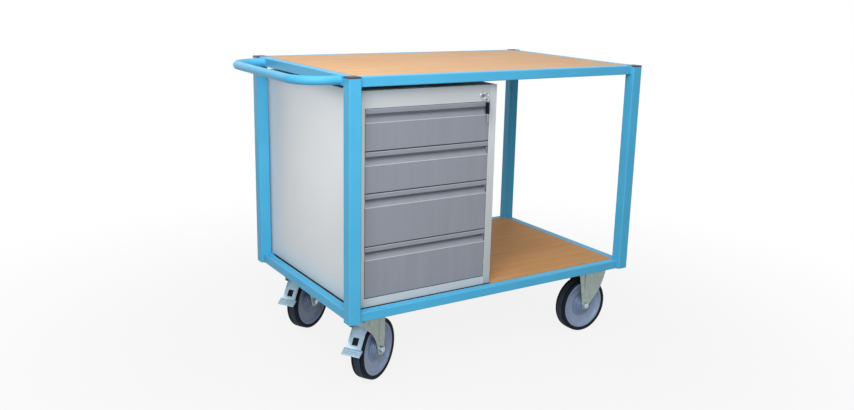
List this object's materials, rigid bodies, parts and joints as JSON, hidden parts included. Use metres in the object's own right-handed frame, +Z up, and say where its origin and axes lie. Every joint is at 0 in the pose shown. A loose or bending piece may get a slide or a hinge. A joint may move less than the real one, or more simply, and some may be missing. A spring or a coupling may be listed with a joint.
{
  "type": "workbench tool cart",
  "caption": "Wheeled workbench of blue square tube with two wooden decks, a push handle, a lockable drawer cabinet, braked swivel casters and fixed casters.",
  "frame": {"origin": "on the floor, in the middle of the overall length (push handle included) and depth", "axes": "+X away from the push handle, -Y towards the drawer fronts, +Z up"},
  "size_m": [1.2784, 0.735, 1.005],
  "materials": {
    "blue_paint": "powder-coated, satin",
    "light_grey_paint": "powder-coated, fine texture",
    "drawer_grey_paint": "powder-coated, fine texture",
    "beech_board": "beech decor, satin",
    "cap_plastic": "moulded, matt",
    "rubber_tyre": "matt rubber",
    "rim_plastic": "moulded, satin",
    "zinc_steel": "zinc plated",
    "nickel": "nickel plated"
  },
  "bodies": {
    "frame": {"post_front_left": "blue_paint", "post_front_right": "blue_paint", "post_rear_left": "blue_paint", "post_rear_right": "blue_paint", "post_caps": "cap_plastic", "upper_long_rails": "blue_paint", "upper_end_rails": "blue_paint", "lower_long_rails": "blue_paint", "lower_end_rails": "blue_paint", "push_handle": "blue_paint", "board_bearers": "blue_paint", "caster_mount_plates": "blue_paint", "caster_bolts": "zinc_steel", "fixed_forks": "zinc_steel", "fixed_axles": "zinc_steel", "swivel_plates": "zinc_steel", "swivel_bearings": "zinc_steel", "cabinet_side_left": "light_grey_paint", "cabinet_side_right": "light_grey_paint", "cabinet_back": "light_grey_paint", "cabinet_top": "light_grey_paint", "cabinet_top_rail": "light_grey_paint", "slide_uprights": "zinc_steel", "cabinet_base": "light_grey_paint", "upper_deck_board": "beech_board", "lower_deck_board": "beech_board", "deck_screws": "zinc_steel", "slide_outer_members": "zinc_steel", "lock_cylinder": "nickel"},
    "drawer_1": {"drawer_front_1": "drawer_grey_paint", "drawer_tray_1": "drawer_grey_paint"},
    "slide_1": {"slide_middle_1": "zinc_steel"},
    "drawer_2": {"drawer_front_2": "drawer_grey_paint", "drawer_tray_2": "drawer_grey_paint"},
    "slide_2": {"slide_middle_2": "zinc_steel"},
    "drawer_3": {"drawer_front_3": "drawer_grey_paint", "drawer_tray_3": "drawer_grey_paint"},
    "slide_3": {"slide_middle_3": "zinc_steel"},
    "drawer_4": {"drawer_front_4": "drawer_grey_paint", "drawer_tray_4": "drawer_grey_paint"},
    "slide_4": {"slide_middle_4": "zinc_steel"},
    "swivel_front": {"swivel_fork_front": "zinc_steel", "swivel_axle_front": "zinc_steel"},
    "swivel_wheel_front": {"swivel_wheel_rim_front": "rim_plastic", "swivel_wheel_tyre_front": "rubber_tyre"},
    "pedal_front": {"brake_pedal_front": "zinc_steel"},
    "fixed_wheel_front": {"fixed_wheel_rim_front": "rim_plastic", "fixed_wheel_tyre_front": "rubber_tyre"},
    "swivel_rear": {"swivel_fork_rear": "zinc_steel", "swivel_axle_rear": "zinc_steel"},
    "swivel_wheel_rear": {"swivel_wheel_rim_rear": "rim_plastic", "swivel_wheel_tyre_rear": "rubber_tyre"},
    "pedal_rear": {"brake_pedal_rear": "zinc_steel"},
    "fixed_wheel_rear": {"fixed_wheel_rim_rear": "rim_plastic", "fixed_wheel_tyre_rear": "rubber_tyre"},
    "lock": {"lock_barrel": "nickel"},
    "bar": {"lock_bar": "zinc_steel"},
    "key": {"lock_key": "nickel"},
    "key_ring": {"key_ring": "nickel"}
  },
  "joints": [
    {"name": "drawer_1_pull", "type": "slide", "parent": "frame", "child": "drawer_1", "axis": [0, -1, 0], "range_m": [0, 0.5585]},
    {"name": "slide_1_run", "type": "slide", "parent": "frame", "child": "slide_1", "axis": [0, -1, 0], "range_m": [0, 0.27925]},
    {"name": "drawer_2_pull", "type": "slide", "parent": "frame", "child": "drawer_2", "axis": [0, -1, 0], "range_m": [0, 0.5585]},
    {"name": "slide_2_run", "type": "slide", "parent": "frame", "child": "slide_2", "axis": [0, -1, 0], "range_m": [0, 0.27925]},
    {"name": "drawer_3_pull", "type": "slide", "parent": "frame", "child": "drawer_3", "axis": [0, -1, 0], "range_m": [0, 0.5585]},
    {"name": "slide_3_run", "type": "slide", "parent": "frame", "child": "slide_3", "axis": [0, -1, 0], "range_m": [0, 0.27925]},
    {"name": "drawer_4_pull", "type": "slide", "parent": "frame", "child": "drawer_4", "axis": [0, -1, 0], "range_m": [0, 0.5585]},
    {"name": "slide_4_run", "type": "slide", "parent": "frame", "child": "slide_4", "axis": [0, -1, 0], "range_m": [0, 0.27925]},
    {"name": "swivel_front_turn", "type": "hinge", "parent": "frame", "child": "swivel_front", "pos_m": [-0.39577, -0.2525, 0.2405], "axis": [0, 0, 1], "continuous": true},
    {"name": "swivel_wheel_front_roll", "type": "hinge", "parent": "swivel_front", "child": "swivel_wheel_front", "pos_m": [-0.35074, -0.2265, 0.103], "axis": [-0.5, 0.866, 0], "continuous": true},
    {"name": "pedal_front_press", "type": "hinge", "parent": "swivel_front", "child": "pedal_front", "pos_m": [-0.41136, -0.2615, 0.215], "axis": [0.5, -0.866, 0], "range_deg": [0, 11.5]},
    {"name": "fixed_wheel_front_roll", "type": "hinge", "parent": "frame", "child": "fixed_wheel_front", "pos_m": [0.52423, -0.2525, 0.103], "axis": [0, 1, 0], "continuous": true},
    {"name": "swivel_rear_turn", "type": "hinge", "parent": "frame", "child": "swivel_rear", "pos_m": [-0.39577, 0.2525, 0.2405], "axis": [0, 0, 1], "continuous": true},
    {"name": "swivel_wheel_rear_roll", "type": "hinge", "parent": "swivel_rear", "child": "swivel_wheel_rear", "pos_m": [-0.35074, 0.2785, 0.103], "axis": [-0.5, 0.866, 0], "continuous": true},
    {"name": "pedal_rear_press", "type": "hinge", "parent": "swivel_rear", "child": "pedal_rear", "pos_m": [-0.41136, 0.2435, 0.215], "axis": [0.5, -0.866, 0], "range_deg": [0, 11.5]},
    {"name": "fixed_wheel_rear_roll", "type": "hinge", "parent": "frame", "child": "fixed_wheel_rear", "pos_m": [0.52423, 0.2525, 0.103], "axis": [0, 1, 0], "continuous": true},
    {"name": "lock_turn", "type": "hinge", "parent": "frame", "child": "lock", "pos_m": [-0.01328, -0.324, 0.9244], "axis": [0, -1, 0], "range_deg": [0, 90.01]},
    {"name": "bar_lift", "type": "slide", "parent": "frame", "child": "bar", "axis": [0, 0, 1], "range_m": [0, 0.01697]},
    {"name": "key_pull", "type": "slide", "parent": "lock", "child": "key", "axis": [0, -1, 0], "range_m": [0, 0.024]},
    {"name": "key_ring_swing", "type": "hinge", "parent": "key", "child": "key_ring", "pos_m": [-0.01328, -0.341, 0.9212], "axis": [-1, 0, 0], "range_deg": [-5, 75]}
  ],
  "couplings": [
    {"joint": "slide_1_run", "follows": "drawer_1_pull", "ratio": 0.5},
    {"joint": "slide_2_run", "follows": "drawer_2_pull", "ratio": 0.5},
    {"joint": "slide_3_run", "follows": "drawer_3_pull", "ratio": 0.5},
    {"joint": "slide_4_run", "follows": "drawer_4_pull", "ratio": 0.5},
    {"joint": "lock_turn", "follows": "bar_lift", "rad_per_m": 92.56}
  ]
}
